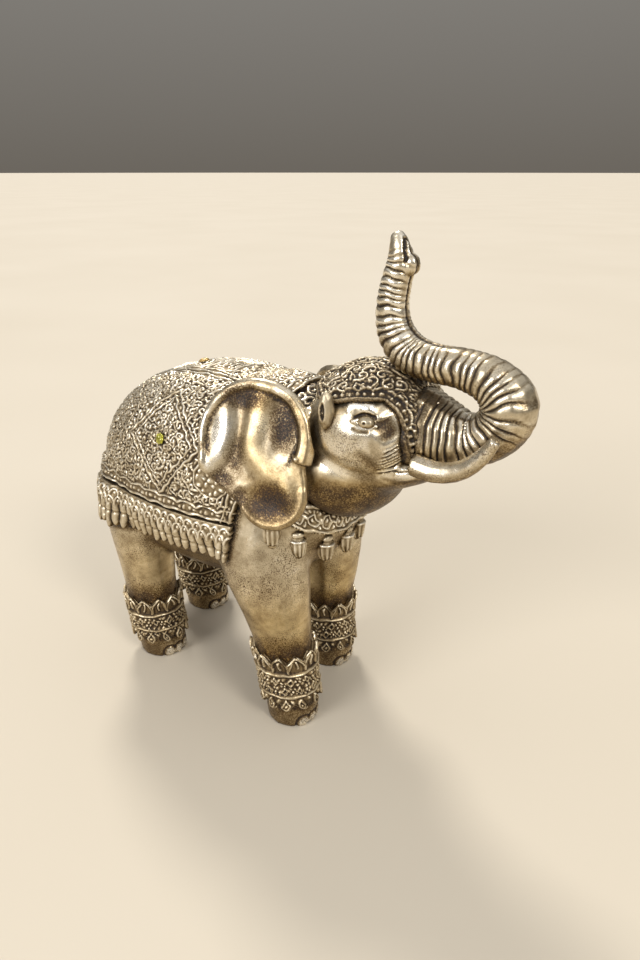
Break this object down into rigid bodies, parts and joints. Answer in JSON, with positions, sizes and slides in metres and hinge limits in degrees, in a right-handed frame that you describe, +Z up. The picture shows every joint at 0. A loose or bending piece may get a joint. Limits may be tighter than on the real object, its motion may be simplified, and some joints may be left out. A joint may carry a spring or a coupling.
{
  "type": "elephant figurine",
  "caption": "Standing elephant figurine with a raised, curled trunk, wearing an ornamented blanket with a fringe, a headpiece, a collar with pendants, and anklets.",
  "frame": {"origin": "middle of the figurine's bounding box at the ground, under the body", "axes": "+X towards the head, +Y towards the elephant's left side, +Z up; the four soles stand on z = 0"},
  "size_m": [0.188, 0.081, 0.1909],
  "materials": {
    "antique_silver_smooth": "antiqued champagne-silver metallic paint on cast resin, burnished on high spots, brown wash in hollows",
    "antique_silver_relief": "antiqued champagne-silver metallic paint over dense cast relief, dark brown wash filling the recesses",
    "antique_silver_trim": "antiqued champagne-silver metallic paint on raised cast trim with dark wash between the pleats",
    "jewel_green": "small glossy yellow-green cabochon",
    "jewel_gold": "small warm gold painted boss"
  },
  "bodies": {
    "root": {"body_casting": "antique_silver_smooth", "collar": "antique_silver_relief", "collar_pendant_1": "antique_silver_trim", "collar_pendant_2": "antique_silver_trim", "collar_pendant_3": "antique_silver_trim", "collar_pendant_4": "antique_silver_trim", "collar_pendant_5": "antique_silver_trim", "collar_pendant_6": "antique_silver_trim", "collar_pendant_7": "antique_silver_trim", "front_left_anklet": "antique_silver_relief", "front_right_anklet": "antique_silver_relief", "head_casting": "antique_silver_smooth", "headpiece": "antique_silver_relief", "left_blanket_jewel": "jewel_green", "left_ear": "antique_silver_smooth", "left_eye": "antique_silver_smooth", "left_fringe": "antique_silver_trim", "left_temple_drop": "antique_silver_trim", "left_tusk": "antique_silver_smooth", "rear_fringe": "antique_silver_trim", "rear_left_anklet": "antique_silver_relief", "rear_right_anklet": "antique_silver_relief", "right_blanket_jewel": "jewel_green", "right_ear": "antique_silver_smooth", "right_eye": "antique_silver_smooth", "right_fringe": "antique_silver_trim", "right_temple_drop": "antique_silver_trim", "right_tusk": "antique_silver_smooth", "saddle_blanket": "antique_silver_relief", "tail": "antique_silver_smooth", "top_jewel": "jewel_gold", "trunk": "antique_silver_smooth"}
  },
  "joints": []
}
